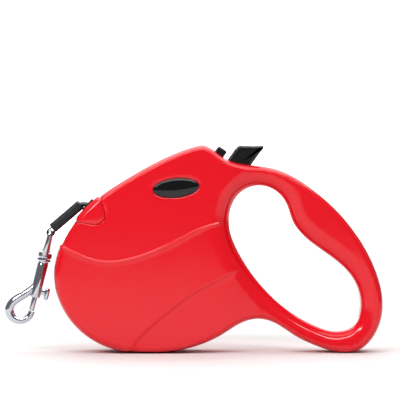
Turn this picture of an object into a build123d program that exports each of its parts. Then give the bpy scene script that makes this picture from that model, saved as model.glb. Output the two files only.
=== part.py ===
from build123d import *
import os
from math import acos, asin, atan2, cos, degrees, hypot, pi, radians, sin

# Retractable dog leash, standing on its belly and on the foot of its handle.
# Millimetres. +X runs from the nose to the handle, +Y from the front shell to the rear shell,
# +Z up. The origin is the middle of the case's footprint, on the surface it stands on.

# ---- driving dimensions -------------------------------------------------------------------
HALF_LENGTH = 95.0  # of the case
CASE_HEIGHT = 120.5
BELLY_HALF = 16.0  # half thickness of the drum housing
HANDLE_HALF = 12.5  # half thickness of the handle loop
NECK_START, NECK_END = 0.0, 30.0  # X over which the case thins from belly to handle
EDGE_ROUND = 5.0
WALL = 2.4
PANEL_PROUD = 0.8  # how far the belly panel stands out of the side face

DRUM_X, DRUM_Z = -40.1, 52.2  # drum centre
TAPE_WIDTH, TAPE_THICK = 10.0, 0.8
HUB_R, HUB_WALL, PACK_R = 21.0, 2.0, 37.4
FLANGE_R, TOOTH_DEPTH, TEETH = 41.0, 3.6, 24
FLANGE_GAP = 0.6  # beside the tape, each side
RATCHET_THICK, COVER_THICK = 2.8, 1.8
AXLE_R, RUNNING_FIT = 4.0, 0.05
AXLE_SEAT = 3.0  # how deep each end of the axle sits in its boss
ARBOR_R = 6.5
SPRING_TURNS, SPRING_STRIP = 9, 0.4

BUTTON_LEAN = 54.0  # degrees between the buttons' stroke and the floor
BRAKE_TRAVEL, LOCK_TRAVEL = 4.5, 2.5
BUTTON_GAP = 0.3
BRAKE_ACROSS, BRAKE_HALF_Y = (-61.7, -48.9), 7.0
LOCK_ACROSS, LOCK_HALF_Y = (-70.6, -64.4), 4.0
PAWL_ACROSS, PAWL_CLEAR = (-57.6, -55.6), 1.0  # pawl's flanks, and its gap over the teeth at rest
SPRING_SEAT_ALONG = 66.0  # where the brake spring stands, along the stroke
LOCK_SEAT_ALONG = 78.0

BADGE_X, BADGE_Z, BADGE_LEAN = -24.8, 95.8, 6.0
BADGE_LONG, BADGE_SHORT, BADGE_PROUD = 27.2, 11.2, 1.2

MOUTH, TAIL_START = (-75.4, 85.3), (-75.9, 85.4)  # end of the inner tape, start of the outer
SLEEVE_START, SLEEVE_END = (-82.0, 84.4), (-96.4, 72.1)
SLEEVE_THICK = 5.4
LOOP_CENTRE = (-97.7, 69.6)
SNAP_LEAN = 14.0  # degrees off the vertical
EYE_TO_BARREL = 17.3
BARREL_R, BARREL_LENGTH = 3.05, 22.0
BOLT_R, BOLT_TRAVEL = 1.5, 7.5
HOOK_HALF = 2.3

SCREW_SPOTS = [(-14.0, 109.5), (-82.5, 26.7), (5.0, 18.5), (44.0, 94.0), (85.6, 42.0), (62.0, 8.3)]
SCREW_R, SCREW_HEAD_R, BOSS_R = 1.4, 2.7, 3.4

XZ = Plane(origin=(0, 0, 0), x_dir=(1, 0, 0), z_dir=(0, -1, 0))
CAVITY_HALF = BELLY_HALF - WALL
TAPE_ROOM = TAPE_WIDTH / 2 + FLANGE_GAP


# ---- helpers ------------------------------------------------------------------------------
def slab(face, low_y, high_y):
    """The solid of a face drawn in X and Z, from one Y to another."""
    return Pos(0, high_y, 0) * extrude(face, amount=high_y - low_y)


def disc(x, z, radius, low_y, high_y):
    """A cylinder along Y."""
    return slab(XZ * (Pos(x, z) * Circle(radius)), low_y, high_y)


def outline_xz(points):
    """A face inside a smooth closed curve through hand-chosen points."""
    return XZ * make_face(Spline(*points, periodic=True))


def polygon_xz(points):
    return XZ * make_face(Polyline(*points, close=True))


def mirror_y(shape):
    return mirror(shape, about=Plane.XZ)


def stroke_point(across, along):
    """X and Z of a point given across and along the buttons' stroke."""
    lean = radians(BUTTON_LEAN)
    return (across * sin(lean) + along * cos(lean), -across * cos(lean) + along * sin(lean))


def stroke_block(across, along, low_y, high_y):
    """A box whose sides follow the buttons' stroke."""
    (left, right), (low, high) = across, along
    corners = [(left, low), (right, low), (right, high), (left, high)]
    return slab(polygon_xz([stroke_point(*c) for c in corners]), low_y, high_y)


def on_stroke(across, along, y):
    """The place of a piece that stands along the buttons' stroke."""
    x, z = stroke_point(across, along)
    lean = radians(BUTTON_LEAN)
    return Plane(origin=(x, y, z), x_dir=(0, 1, 0), z_dir=(cos(lean), 0, sin(lean))).location


def coil(radius, wire_r, turns, height):
    """A round-wire compression spring along +Z, standing on the origin."""
    rise = height - 2 * wire_r
    path = Helix(pitch=rise / turns, height=rise, radius=radius)
    section = Plane(path @ 0, z_dir=path % 0) * Circle(wire_r)
    return Pos(0, 0, wire_r) * sweep(section, path=path)


# ---- case ---------------------------------------------------------------------------------
def case_face():
    """The side view of the case without the handle opening."""
    belly_foot = [(-34.0, -0.3), (-40.0, -0.5), (-46.0, -0.2)]
    nose = [
        (-67.7, 5.1), (-84.0, 17.0), (-93.4, 34.0), (-HALF_LENGTH, 45.0), (-92.6, 58.5),
        (-84.0, 75.0), (-70.5, 89.5), (-56.3, 99.3), (-31.1, 113.3),
    ]
    peak = [(-14.5, 119.6), (-9.0, CASE_HEIGHT - 0.05), (-4.5, 118.6)]
    back = [
        (0.4, 114.7), (9.0, 110.4), (21.0, 108.5), (33.3, 106.3), (52.7, 95.8), (68.8, 81.9),
        (84.4, 60.9), (93.2, 40.0), (HALF_LENGTH, 26.6), (91.0, 11.5),
    ]
    handle_foot = [(79.0, 0.3), (73.0, -0.5), (67.0, 0.2)]
    arch = [
        (57.7, 3.4), (42.9, 10.4), (32.3, 17.1), (22.7, 19.5), (13.0, 17.1), (1.9, 10.4),
        (-14.5, 3.4),
    ]
    return outline_xz(belly_foot + nose + peak + back + handle_foot + arch)


def opening_face():
    """The handle opening in side view, with the finger rest that stands into it."""
    return outline_xz([
        (22.4, 96.8), (12.0, 92.3), (7.0, 84.0), (6.2, 72.0), (11.7, 57.4), (26.6, 36.5),
        (42.7, 22.6), (56.5, 15.2), (69.0, 12.3), (79.0, 16.2), (82.3, 26.6), (78.6, 41.7),
        (67.5, 53.8), (52.0, 65.2), (42.8, 76.0), (39.2, 86.0), (32.3, 94.1),
    ])


def top_profile(trim):
    """The half case seen from above, thinned by trim: thick at the drum, slimmer at the handle."""
    belly, handle = BELLY_HALF - trim, HANDLE_HALF - trim
    far = HALF_LENGTH + 10
    near, neck = (NECK_START, belly), (NECK_END, handle)
    edges = [
        Line((-far, 0), (-far, belly)), Line((-far, belly), near),
        Spline(near, neck, tangents=[(1, 0), (1, 0)]),
        Line(neck, (far, handle)), Line((far, handle), (far, 0)), Line((far, 0), (-far, 0)),
    ]
    return Pos(0, 0, -10) * extrude(make_face(edges), amount=CASE_HEIGHT + 20)


def rounded_half():
    """The solid half of the case, Y from 0 up, with its outer edges rounded."""
    half = slab(case_face() - opening_face(), 0, BELLY_HALF) & top_profile(0)
    sides = [f for f in half.faces() if f.center().Y > HANDLE_HALF - 1 and f.area > 500]
    rim = []
    for edge in half.edges():
        owners = [f for f in sides if any(edge.is_same(other) for other in f.edges())]
        if len(owners) == 1:
            rim.append(edge)
    return fillet(rim, EDGE_ROUND)


def belly_panel():
    """The raised panel low on the side face, thin and following the drum housing's edge."""
    brow = Spline((-87.6, 60.4), (-75.0, 55.5), (-64.0, 53.6), (-37.3, 60.0), (-10.6, 72.7), (1.5, 76.7))
    crease = Spline((1.5, 76.7), (7.0, 62.0), (1.0, 43.0), (-15.9, 34.0), (-41.3, 14.0), (-50.5, 5.2))
    rim = Spline(
        (-50.5, 5.2), (-66.0, 10.0), (-80.3, 21.0), (-88.4, 35.5), (-90.0, 45.0), (-87.6, 60.4)
    )
    return slab(XZ * make_face([brow, crease, rim]), BELLY_HALF - 1.5, BELLY_HALF + PANEL_PROUD)


def grown(face, amount, count=72):
    """A smooth face whose outline is moved outwards by an amount, or inwards if it is negative."""
    outline = Plane.XZ.to_local_coords(face).edges()[0]
    points = []
    for k in range(count):
        spot, way = outline @ (k / count), outline % (k / count)
        points.append((spot.X + way.Y * amount, spot.Y - way.X * amount))
    return outline_xz(points)


def cavity_half():
    """The hollow inside one half, one wall thickness inside the case and round the opening."""
    inner = grown(case_face(), -WALL) - grown(opening_face(), WALL)
    return slab(inner, -0.01, CAVITY_HALF) & (Pos(0, -0.01, 0) * top_profile(WALL))


def button_slots():
    """The two guides that the buttons slide in, cut through the top of the case."""
    brake = stroke_block(
        (BRAKE_ACROSS[0] - BUTTON_GAP, BRAKE_ACROSS[1] + BUTTON_GAP), (85.0, 120.0),
        -BRAKE_HALF_Y - BUTTON_GAP, BRAKE_HALF_Y + BUTTON_GAP,
    )
    lock = stroke_block(
        (LOCK_ACROSS[0] - BUTTON_GAP, LOCK_ACROSS[1] + BUTTON_GAP), (85.0, 120.0),
        -LOCK_HALF_Y - BUTTON_GAP, LOCK_HALF_Y + BUTTON_GAP,
    )
    return brake + lock


def mouth_block():
    """The outlet guide's block on the slant of the nose."""
    corners = [(-79.2, 83.2), (-73.7, 89.3), (-69.8, 85.6), (-75.2, 79.3)]
    half = TAPE_WIDTH / 2 + 3
    return slab(polygon_xz(corners), -half, half)


def shell(half, inside):
    """One half case as a moulding: hollow, with axle boss, and open for buttons and outlet."""
    body = half + belly_panel()
    body = body - inside
    body = body + disc(DRUM_X, DRUM_Z, AXLE_R + 4, CAVITY_HALF - 4, CAVITY_HALF + 0.5)
    body = body - disc(DRUM_X, DRUM_Z, AXLE_R, CAVITY_HALF - 5, CAVITY_HALF - 4 + AXLE_SEAT)
    body = body - button_slots() - mouth_block() - tape_slot(2.0)
    body = body - badge_recess()
    floor = Box(400, 400, 40, align=(Align.CENTER, Align.CENTER, Align.MAX))
    return body - floor


def side_half(x):
    """Half thickness of the case's side face at an X, close enough to seat a boss in it."""
    if x < NECK_START:
        return BELLY_HALF
    return HANDLE_HALF


def front_shell():
    body = shell(rounded_half(), cavity_half())
    for x, z in SCREW_SPOTS:
        deep = side_half(x) - WALL / 2
        body = body + disc(x, z, BOSS_R, 0, deep)
        body = body - disc(x, z, SCREW_R, 0, deep - 1.5)
    return mirror_y(body)


def rear_shell():
    body = shell(rounded_half(), cavity_half())
    for x, z in SCREW_SPOTS:
        outside = BELLY_HALF + 5
        seat = side_half(x) - 6.0
        body = body + disc(x, z, BOSS_R + 0.8, 0, side_half(x) - WALL / 2)
        body = body - disc(x, z, SCREW_HEAD_R + 0.2, seat, outside)
        body = body - disc(x, z, SCREW_R + 0.2, -2, outside)
    ledge, wall = 2.5, CAVITY_HALF + 0.5
    seat = stroke_block((-57.0, -50.0), (SPRING_SEAT_ALONG - ledge, SPRING_SEAT_ALONG), -3.6, wall)
    lock_seat = stroke_block(LOCK_ACROSS, (LOCK_SEAT_ALONG - ledge, LOCK_SEAT_ALONG), -3.6, wall)
    return body + seat + lock_seat


def shell_screws():
    """Self-tapping pan-head screws, driven from the rear shell."""
    screws = []
    for x, z in SCREW_SPOTS:
        seat = side_half(x) - 6.0
        end = -(side_half(x) - WALL / 2 - 2.0)
        head = disc(x, z, SCREW_HEAD_R, seat, seat + 1.9)
        head = fillet(head.edges().sort_by(Axis.Y)[-1], 0.8)
        slot = slab(XZ * (Pos(x, z) * Rectangle(3.4, 0.8)), seat + 1.1, seat + 3)
        cross = slab(XZ * (Pos(x, z) * Rectangle(0.8, 3.4)), seat + 1.1, seat + 3)
        screws.append(head + disc(x, z, SCREW_R - 0.02, end, seat) - slot - cross)
    return Compound(children=[solid for screw in screws for solid in screw.solids()])


def nozzle_collar():
    """The raised cap that wraps the outlet: a plate on each side face joined over the nose."""
    outer = outline_xz([
        (-83.2, 78.6), (-77.2, 85.6), (-70.2, 92.0), (-67.6, 87.4), (-65.8, 79.6), (-68.8, 75.1),
        (-76.2, 74.9), (-81.6, 76.4),
    ])
    reach = BELLY_HALF + 0.9
    cap = slab(outer, -reach, reach)
    half = rounded_half()
    return cap - half - mirror_y(half) - mouth_block() - tape_slot(2.0)


def tape_slot(grow):
    """The flat channel through which the tape leaves, widened by grow where the shells clear it."""
    (x, z), run = MOUTH, tape_direction()
    reach = 14.0
    thick = 2.2 + grow / 2
    nx, nz = -run[1], run[0]
    corners = []
    for along, across in ((-reach, -thick), (reach, -thick), (reach, thick), (-reach, thick)):
        corners.append((x + run[0] * along + nx * across, z + run[1] * along + nz * across))
    half = TAPE_WIDTH / 2 + 0.6 + grow / 4
    return slab(polygon_xz(corners), -half, half)


def outlet_guide():
    return mouth_block() - tape_slot(0.0)


def badge_blank(low_y, high_y):
    oval = Ellipse(BADGE_LONG / 2, BADGE_SHORT / 2)
    return slab(XZ * (Pos(BADGE_X, BADGE_Z) * Rot(0, 0, BADGE_LEAN) * oval), low_y, high_y)


def badge_recess():
    return badge_blank(BELLY_HALF - 1.0, BELLY_HALF + 1)


def rear_badge():
    """A blank domed oval plate set into the side face."""
    blank = badge_blank(BELLY_HALF - 1.0, BELLY_HALF + BADGE_PROUD)
    return fillet(blank.edges().sort_by(Axis.Y)[-1], BADGE_PROUD - 0.1)


# ---- drum and tape ------------------------------------------------------------------------
def tape_tangent():
    """Where the tape leaves the wound pack, and the unit direction towards the outlet."""
    radius = PACK_R + 0.3 + TAPE_THICK / 2
    dx, dz = MOUTH[0] - DRUM_X, MOUTH[1] - DRUM_Z
    far = hypot(dx, dz)
    angle = atan2(dz, dx) - acos(radius / far)
    start = (DRUM_X + radius * cos(angle), DRUM_Z + radius * sin(angle))
    run = (MOUTH[0] - start[0], MOUTH[1] - start[1])
    length = hypot(*run)
    return start, (run[0] / length, run[1] / length)


def tape_direction():
    return tape_tangent()[1]


def strip(path):
    """Tape standing on edge: its side view traced along a path, as wide as the tape."""
    half = TAPE_WIDTH / 2
    return slab(XZ * trace(path, line_width=TAPE_THICK), -half, half)


def tape_run():
    return strip(Line(tape_tangent()[0], MOUTH))


def spool():
    """Drum with its ratchet flange towards the front shell; one tooth gap waits under the pawl."""
    back = -TAPE_ROOM - RATCHET_THICK
    hub = disc(DRUM_X, DRUM_Z, HUB_R, -TAPE_ROOM, TAPE_ROOM) - disc(
        DRUM_X, DRUM_Z, HUB_R - HUB_WALL, -TAPE_ROOM, TAPE_ROOM
    )
    pitch = 360 / TEETH
    root = FLANGE_R - TOOTH_DEPTH
    gap_centre = BUTTON_LEAN - degrees(asin((sum(PAWL_ACROSS) / 2 - drum_across()) / FLANGE_R))
    points = []
    for tooth in range(TEETH):
        start = radians(gap_centre - pitch / 2 + tooth * pitch)
        for turn, radius in ((0.0, root), (0.50, root), (0.56, FLANGE_R), (0.78, FLANGE_R)):
            angle = start + radians(pitch) * (turn + 0.25)
            points.append((DRUM_X + radius * cos(angle), DRUM_Z + radius * sin(angle)))
    flange = slab(polygon_xz(points), back, -TAPE_ROOM)
    bearing = disc(DRUM_X, DRUM_Z, AXLE_R + 2.0, back - 0.4, -TAPE_ROOM + 1.5)
    bore = disc(DRUM_X, DRUM_Z, AXLE_R + RUNNING_FIT, back - 1, TAPE_ROOM)
    return hub + flange + bearing - bore


def spool_cover():
    """The opposite flange, which closes the spring chamber."""
    plate = disc(DRUM_X, DRUM_Z, FLANGE_R - 1, TAPE_ROOM, TAPE_ROOM + COVER_THICK)
    boss = disc(DRUM_X, DRUM_Z, AXLE_R + 2.0, TAPE_ROOM, TAPE_ROOM + COVER_THICK + 0.4)
    return plate + boss - disc(DRUM_X, DRUM_Z, AXLE_R + RUNNING_FIT, 0, 2 * TAPE_ROOM)


def wound_tape():
    half = TAPE_WIDTH / 2
    return disc(DRUM_X, DRUM_Z, PACK_R, -half, half) - disc(DRUM_X, DRUM_Z, HUB_R, -half, half)


def spool_axle():
    end = CAVITY_HALF - 4 + AXLE_SEAT
    pin = disc(DRUM_X, DRUM_Z, AXLE_R, -end, end)
    groove_y = TAPE_ROOM + COVER_THICK + 0.7
    groove = disc(DRUM_X, DRUM_Z, AXLE_R + 1, groove_y, groove_y + 0.7)
    return pin - (groove - disc(DRUM_X, DRUM_Z, AXLE_R - 0.6, groove_y, groove_y + 0.7))


def axle_clip():
    """Retaining ring that snaps into the axle's groove and keeps the drum in place."""
    low = TAPE_ROOM + COVER_THICK + 0.75
    ring = disc(DRUM_X, DRUM_Z, AXLE_R + 1.6, low, low + 0.6)
    ring = ring - disc(DRUM_X, DRUM_Z, AXLE_R - 0.6, low, low + 0.6)
    mouth = slab(XZ * (Pos(DRUM_X, DRUM_Z - AXLE_R - 1) * Rectangle(4.4, 4.4)), low, low + 0.6)
    return ring - mouth


def spring_arbor():
    """The fixed core that holds the mainspring's inner end, with its hook slot."""
    half = TAPE_ROOM - 1.0
    core = disc(DRUM_X, DRUM_Z, ARBOR_R, -half + 2.4, half)
    slot = slab(XZ * (Pos(DRUM_X + ARBOR_R, DRUM_Z) * Rectangle(2.4, 1.0)), -half, half)
    return core - disc(DRUM_X, DRUM_Z, AXLE_R, -half, half) - slot


def mainspring():
    """Flat spiral spring between the arbor and the drum's inner wall."""
    inner, outer = ARBOR_R + 0.3, HUB_R - HUB_WALL - 0.8
    count = SPRING_TURNS * 12
    edges = []
    for side in (-SPRING_STRIP / 2, SPRING_STRIP / 2):
        points = []
        for i in range(count + 1):
            radius = inner + SPRING_STRIP / 2 + (outer - inner - SPRING_STRIP) * i / count + side
            angle = 2 * pi * SPRING_TURNS * i / count
            points.append((DRUM_X + radius * cos(angle), DRUM_Z + radius * sin(angle)))
        edges.append(Spline(*points))
    ends = [Line(edges[0] @ k, edges[1] @ k) for k in (0, 1)]
    return slab(XZ * make_face(edges + ends), -3.0, 4.2)


# ---- buttons ------------------------------------------------------------------------------
def brake_button():
    """Thumb button with a scooped top, a stem and the pawl that drops between the teeth."""
    left, right = BRAKE_ACROSS
    cap = polygon_xz([
        stroke_point(left, 86.0), stroke_point(left, 102.6), stroke_point(left + 1.0, 104.6),
        stroke_point(-59.0, 105.6), stroke_point(-54.0, 108.6), stroke_point(right + 0.2, 112.0),
        stroke_point(right, 111.0), stroke_point(right, 86.0),
    ])
    body = slab(cap, -BRAKE_HALF_Y, BRAKE_HALF_Y)
    flanks = [e for e in body.edges() if abs(e.center().Y) > BRAKE_HALF_Y - 0.1 and e.length > 14]
    body = fillet(flanks, 1.2)
    stem = stroke_block((-59.0, -51.5), (76.5, 87.0), -8.2, 5.0)
    pawl = stroke_block(PAWL_ACROSS, (pawl_rest_along(), 77.5), -8.1, -5.9)
    return body + stem + pawl


def drum_along():
    """The drum centre's place along the buttons' stroke."""
    lean = radians(BUTTON_LEAN)
    return DRUM_X * cos(lean) + DRUM_Z * sin(lean)


def drum_across():
    """The drum centre's place across the buttons' stroke."""
    lean = radians(BUTTON_LEAN)
    return DRUM_X * sin(lean) - DRUM_Z * cos(lean)


def pawl_rest_along():
    """Along the stroke, where the pawl's tip waits clear of the teeth."""
    return drum_along() + FLANGE_R + PAWL_CLEAR


def brake_spring():
    height = 76.5 - SPRING_SEAT_ALONG
    return on_stroke(-53.5, SPRING_SEAT_ALONG, 0) * coil(2.4, 0.4, 4.5, height)


def lock_button():
    """Small button whose foot slides over the pressed brake button's shoulder."""
    left, right = LOCK_ACROSS
    body = stroke_block((left, right), (88.0, 97.0), -LOCK_HALF_Y, LOCK_HALF_Y)
    top = [e for e in body.edges() if abs(e.center().Y) > LOCK_HALF_Y - 0.1]
    return fillet(top, 0.9)


def lock_spring():
    return on_stroke(-67.5, LOCK_SEAT_ALONG, 0) * coil(1.9, 0.3, 4.5, 88.0 - LOCK_SEAT_ALONG)


# ---- tape end and snap --------------------------------------------------------------------
def tape_tail():
    """The short bare tape between outlet and sleeve, curling over the lower lip."""
    path = FilletPolyline(TAIL_START, (-79.6, 86.3), SLEEVE_START, radius=1.6)
    return strip(path)


def along_sleeve(distance, across=0.0):
    dx, dz = SLEEVE_END[0] - SLEEVE_START[0], SLEEVE_END[1] - SLEEVE_START[1]
    length = hypot(dx, dz)
    dx, dz = dx / length, dz / length
    return (SLEEVE_START[0] + dx * distance - dz * across, SLEEVE_START[1] + dz * distance + dx * across)


def sleeve_length():
    return hypot(SLEEVE_END[0] - SLEEVE_START[0], SLEEVE_END[1] - SLEEVE_START[1])


def tape_sleeve():
    """The ribbed rubber sleeve over the doubled and stitched tape end."""
    half = SLEEVE_THICK / 2
    end = sleeve_length()
    corners = [
        along_sleeve(0, -half), along_sleeve(end, -half), along_sleeve(end, half), along_sleeve(0, half)
    ]
    wide = TAPE_WIDTH / 2 + 1.2
    body = slab(polygon_xz(corners), -wide, wide)
    lengthways = [e for e in body.edges() if abs(e.length - end) < 0.1]
    return fillet(lengthways, 1.4)


def tape_loop():
    """The end of the tape, wrapped round the snap's eye."""
    x, z = LOOP_CENTRE
    half = TAPE_WIDTH / 2
    ring = disc(x, z, 2.5, -half, half)
    neck = slab(
        polygon_xz([
            along_sleeve(sleeve_length(), -1.6), along_sleeve(sleeve_length() + 2.0, -2.0),
            along_sleeve(sleeve_length() + 2.0, 2.0), along_sleeve(sleeve_length(), 1.6),
        ]),
        -half, half,
    )
    return ring + neck - disc(x, z, 1.65, -half, half)


def snap_place():
    """The snap's own frame: origin at the barrel's top, +Z down the barrel, +X to the hook."""
    lean = radians(SNAP_LEAN)
    down = (-sin(lean), 0, -cos(lean))
    origin = (LOOP_CENTRE[0] + down[0] * EYE_TO_BARREL, 0, LOOP_CENTRE[1] + down[2] * EYE_TO_BARREL)
    return Plane(origin=origin, x_dir=(-cos(lean), 0, sin(lean)), z_dir=down).location


def upright(radius, height):
    """A cylinder that stands on the origin."""
    return Cylinder(radius, height, align=(Align.CENTER, Align.CENTER, Align.MIN))


def in_snap_xz(face):
    """A face drawn in the snap's X and Z, standing at its Y = 0."""
    return XZ * face


def snap_eye():
    """Cast stirrup: a cross bar for the tape, two legs and the swivel block."""
    top, low, wide = -EYE_TO_BARREL, -8.0, 7.2
    wire = 1.35
    path = FilletPolyline(
        (-2.6, -4.0), (-wide, low), (-wide, top), (wide, top), (wide, low), (2.6, -4.0), radius=1.9
    )
    path = Plane(origin=(0, 0, 0), x_dir=(0, 1, 0), z_dir=(1, 0, 0)) * path
    ring = sweep(Plane(path @ 0, z_dir=path % 0) * Circle(wire), path=path)
    block = Pos(0, 0, -3.4) * Box(7.8, 8.0, 3.4)
    block = fillet(block.edges().filter_by(Axis.Z), 1.6)
    bore = Cylinder(1.5 + RUNNING_FIT, 12)
    return snap_place() * (ring + block - Pos(0, 0, -4) * bore)


def swivel_rivet():
    """Headed pin that joins the eye to the barrel and lets it turn."""
    shank = Pos(0, 0, -2.0) * Cylinder(1.5, 7.0)
    head = Pos(0, 0, -6.0) * Cylinder(2.3, 1.2)
    head = fillet(head.edges().sort_by(Axis.Z)[0], 0.5)
    return snap_place() * (shank + head)


def snap_body():
    """Cast barrel with its flange and the fixed hook."""
    barrel = upright(BARREL_R, BARREL_LENGTH)
    flange = Pos(0, 0, -1.5) * upright(3.9, 1.6)
    outer = Spline(
        (2.4, 10.5), (5.2, 15.0), (10.5, 21.5), (14.6, 27.5), (15.3, 33.0), (11.5, 38.0),
        (5.5, 39.3), (0.2, 36.9), (-2.2, 32.8), (-2.3, 30.2),
    )
    inner = Spline(
        (1.3, 30.2), (2.4, 33.3), (5.2, 34.8), (8.6, 33.0), (9.9, 29.3), (7.4, 25.0), (2.4, 21.5)
    )
    hook = in_snap_xz(make_face([outer, Line(outer @ 1, inner @ 0), inner, Line(inner @ 1, outer @ 0)]))
    arm = Pos(0, HOOK_HALF, 0) * extrude(hook, amount=2 * HOOK_HALF)
    rims = [e for e in arm.edges() if abs(e.center().Y) > HOOK_HALF - 0.1 and e.length > 5]
    arm = fillet([e for e in rims if e.center().X > 2.6], 1.1)
    through = Pos(0, 0, 2.5) * upright(BOLT_R + 0.1, 40)
    bolt_way = Pos(0, 0, 2.5) * upright(BOLT_R + 0.1, 27.9)
    slot = Pos(-3.5, 0, 14.1) * Box(7.0, 2.2, 12.4)
    rivet = Pos(0, 0, -2.0) * Cylinder(1.5, 7.0)
    body = (barrel + flange - through) + (arm - bolt_way)
    return snap_place() * (body - slot - rivet)


def snap_bolt():
    """Sprung bolt that closes the hook, with the thumb stud on its side."""
    bolt = Pos(0, 0, 15.5) * upright(BOLT_R, 14.4)
    stem = Pos(-3.4, 0, 18.0) * Box(4.4, 1.8, 3.2)
    tab = Pos(-6.4, 0, 18.3) * Box(2.6, 4.6, 7.2)
    tab = fillet(tab.edges().filter_by(Axis.Y), 0.8)
    return snap_place() * (bolt + stem + tab)


def bolt_spring():
    return snap_place() * Pos(0, 0, 2.5) * coil(1.1, 0.22, 9, 13.0)


# ---- output -------------------------------------------------------------------------------
def main():
    nodes = {
        "front_shell": front_shell,
        "rear_shell": rear_shell,
        "shell_screws": shell_screws,
        "nozzle_collar": nozzle_collar,
        "outlet_guide": outlet_guide,
        "front_badge": lambda: mirror_y(rear_badge()),
        "rear_badge": rear_badge,
        "spool": spool,
        "spool_cover": spool_cover,
        "wound_tape": wound_tape,
        "spool_axle": spool_axle,
        "axle_clip": axle_clip,
        "spring_arbor": spring_arbor,
        "mainspring": mainspring,
        "tape_run": tape_run,
        "brake_button": brake_button,
        "brake_spring": brake_spring,
        "lock_button": lock_button,
        "lock_spring": lock_spring,
        "tape_tail": tape_tail,
        "tape_sleeve": tape_sleeve,
        "tape_loop": tape_loop,
        "snap_eye": snap_eye,
        "swivel_rivet": swivel_rivet,
        "snap_body": snap_body,
        "snap_bolt": snap_bolt,
        "bolt_spring": bolt_spring,
    }
    os.makedirs("parts", exist_ok=True)
    for name, build in nodes.items():
        export_step(build(), f"parts/{name}.step")
        print(name)


main()
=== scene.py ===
import math

import bpy
import numpy as np
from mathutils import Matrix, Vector
from mathutils.geometry import delaunay_2d_cdt


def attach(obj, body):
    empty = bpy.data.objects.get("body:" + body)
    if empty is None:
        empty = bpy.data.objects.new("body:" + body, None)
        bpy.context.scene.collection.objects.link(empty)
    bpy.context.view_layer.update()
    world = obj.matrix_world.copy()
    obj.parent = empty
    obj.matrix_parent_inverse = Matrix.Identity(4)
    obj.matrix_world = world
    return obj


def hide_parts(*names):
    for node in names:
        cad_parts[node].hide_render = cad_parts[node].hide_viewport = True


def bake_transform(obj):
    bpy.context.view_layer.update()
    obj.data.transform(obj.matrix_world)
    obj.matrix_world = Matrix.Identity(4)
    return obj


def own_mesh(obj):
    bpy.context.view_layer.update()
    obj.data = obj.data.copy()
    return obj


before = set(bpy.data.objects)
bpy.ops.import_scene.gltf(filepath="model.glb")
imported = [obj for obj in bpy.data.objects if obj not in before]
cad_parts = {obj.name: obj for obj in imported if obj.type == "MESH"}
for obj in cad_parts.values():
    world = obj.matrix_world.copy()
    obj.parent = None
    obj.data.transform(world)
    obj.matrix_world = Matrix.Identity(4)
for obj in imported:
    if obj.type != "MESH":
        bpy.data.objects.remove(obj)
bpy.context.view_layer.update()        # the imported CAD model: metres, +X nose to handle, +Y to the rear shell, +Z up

MM = 0.001

# ---- sizes of the case, in millimetres ------------------------------------------------------
BELLY_HALF, HANDLE_HALF = 16.0, 12.5  # height of the side face over the parting plane
NECK_START, NECK_END = 0.0, 30.0  # where the belly eases into the handle, along X
WALL_BAND = 6.0  # height of the upright band beside the parting line
WALL_STEPS = (6.0, 5.75, 5.4, 3.6, 1.8)  # rows of that band, down from the rounding
WALL_SINKS = (0.3, 0.06, 0.0, 0.0, 0.0)  # how far each row draws in: the groove of the parting line
OUTER_ROUND, OPENING_ROUND = 2.9, 9.0  # how far in from each rim the face is rounded
ROUND_STEPS = (0, 8, 17, 26, 36, 46, 56, 67, 78, 90)  # rows of that rounding, in degrees
SKIN = 2.2
GRID_PITCH, GRID_GAP = 1.5, 0.95  # spacing of the plain grid, and its distance from shaped rows
PANEL_PROUD = 0.75
BEAD_PROUD, BEAD_BELOW, BEAD_WIDTH = 0.42, 0.9, 0.52
BADGE_GROOVE, BADGE_GROOVE_WIDTH = 0.45, 0.35
COLLAR_PROUD, COLLAR_ROUND = 1.0, 2.0
COLLAR_GROOVE, COLLAR_GROOVE_OUT, COLLAR_GROOVE_WIDTH = 0.4, 0.15, 0.3

CASE_OUTLINE = [
    (-34.0, 0.05), (-40.0, 0.0), (-46.0, 0.2), (-67.7, 5.1), (-84.0, 17.0), (-93.4, 34.0), (-95.0, 45.0),
    (-92.6, 58.5), (-84.0, 75.0), (-70.5, 89.5), (-56.3, 99.3), (-31.1, 113.3), (-14.5, 119.6),
    (-9.0, 120.4), (-4.5, 118.6), (0.4, 114.7), (9.0, 110.4), (21.0, 108.5), (33.3, 106.3),
    (52.7, 95.8), (68.8, 81.9), (84.4, 60.9), (93.2, 40.0), (95.0, 26.6), (91.0, 11.5), (79.0, 0.7),
    (73.0, 0.0), (67.0, 0.6), (57.7, 3.4), (42.9, 10.4), (32.3, 17.1), (22.7, 19.5), (13.0, 17.1),
    (1.9, 10.4), (-14.5, 3.4),
]
OPENING_OUTLINE = [
    (22.4, 96.8), (12.0, 92.3), (7.0, 84.0), (6.2, 72.0), (11.7, 57.4), (26.6, 36.5), (42.7, 22.6),
    (56.5, 15.2), (69.0, 12.3), (79.0, 16.2), (82.3, 26.6), (78.6, 41.7), (67.5, 53.8), (52.0, 65.2),
    (42.8, 76.0), (39.2, 86.0), (32.3, 94.1),
]
BROW_LINE = [(-98.0, 66.5), (-84.0, 59.4), (-74.7, 55.4), (-64.0, 53.6), (-50.6, 55.4), (-37.3, 60.0),
             (-21.3, 67.4), (-10.6, 72.7), (1.5, 76.7), (14.0, 79.8)]
CREASE_LINE = [(-62.0, -9.0), (-52.6, 1.3), (-41.3, 14.0), (-29.2, 24.0), (-15.9, 34.0), (-2.6, 41.3),
               (9.5, 47.3), (20.0, 52.0)]
COLLAR_OUTLINE = [(-87.0, 78.2), (-80.0, 86.8), (-71.5, 94.6), (-69.3, 91.4), (-67.6, 87.4), (-65.9, 80.6),
                  (-66.4, 77.2), (-69.4, 75.1), (-76.0, 75.0), (-81.4, 76.2)]
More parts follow.
